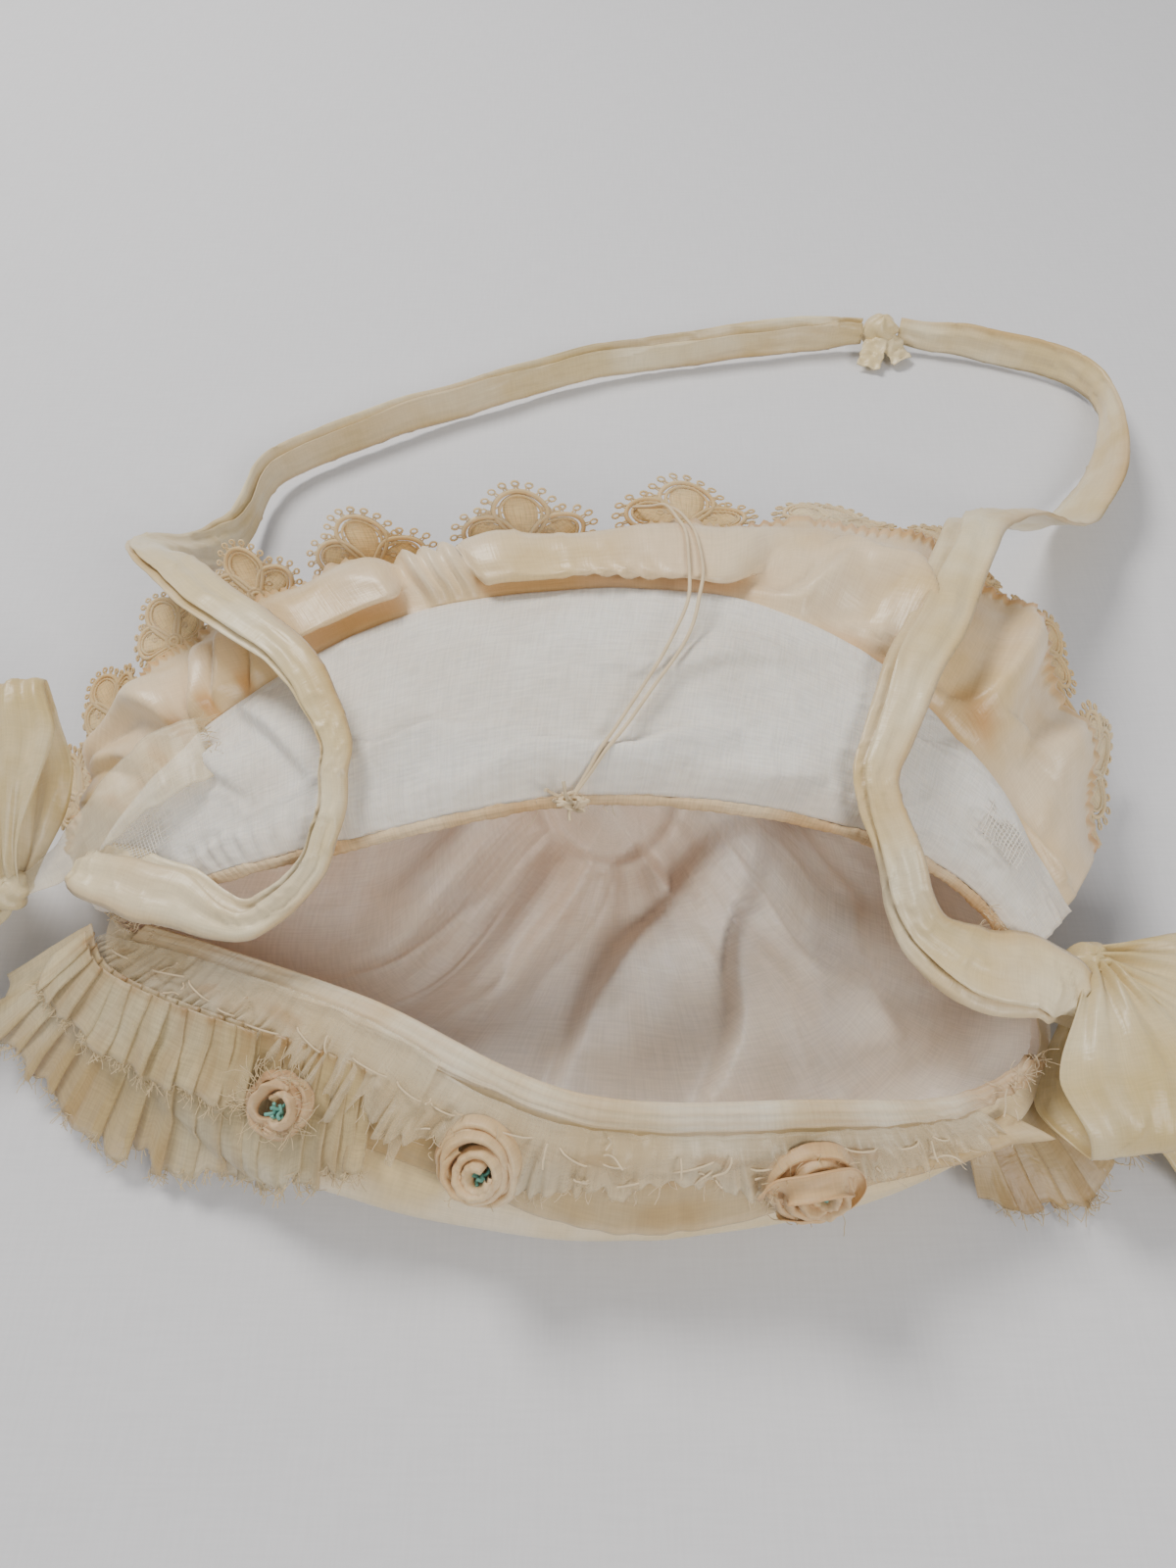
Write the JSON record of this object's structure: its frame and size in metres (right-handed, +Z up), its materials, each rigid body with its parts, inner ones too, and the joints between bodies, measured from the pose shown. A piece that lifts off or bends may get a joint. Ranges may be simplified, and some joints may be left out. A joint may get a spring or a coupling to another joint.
{
  "type": "christening bonnet",
  "caption": "Antique baby's christening bonnet of ivory silk satin and cotton, turned-back brim with guipure lace, organza frills and bows, rosettes and knotted ribbon ties.",
  "frame": {"origin": "on the flat patch of satin that the crown rests on, under the middle of the mouth", "axes": "+Z up from the surface it lies on, -Y towards the near rim of the mouth, +X to the right as seen looking into the mouth"},
  "size_m": [0.345, 0.3098, 0.0668],
  "materials": {
    "silk_satin": "ivory silk satin, glossy, aged to peach in the folds",
    "cotton_lining": "plain-woven off-white cotton lawn, matt and creased",
    "cotton_tape": "unbleached woven tape and corded edge, matt",
    "guipure_lace": "cream chemical lace in raised buttonhole bars and picots",
    "silk_organza": "sheer yellowed silk organza with a soft sheen and frayed edges",
    "silk_chiffon": "tea-stained silk chiffon ribbon, half matt",
    "dyed_thread": "faded blue-green stiffened thread",
    "silk_ribbon": "cream satin ribbon, creased lengthwise, glossy"
  },
  "bodies": {
    "root": {"crown_shell": "silk_satin", "crown_lining": "cotton_lining", "rim_binding": "cotton_tape", "lip_piping": "cotton_tape", "brim_shell": "silk_satin", "brim_lining": "cotton_lining", "lace_edging": "guipure_lace", "frill_lower": "silk_organza", "frill_upper": "silk_organza", "frill_remnant": "silk_organza", "rosette_band": "silk_chiffon", "rosette_1": "silk_chiffon", "rosette_2": "silk_chiffon", "rosette_3": "silk_chiffon", "rosette_tuft_1": "dyed_thread", "rosette_tuft_2": "dyed_thread", "rosette_tuft_3": "dyed_thread", "bow_left": "silk_organza", "bow_right": "silk_organza", "strap_left": "silk_ribbon", "strap_right": "silk_ribbon", "strap_knot": "silk_ribbon"}
  },
  "joints": []
}
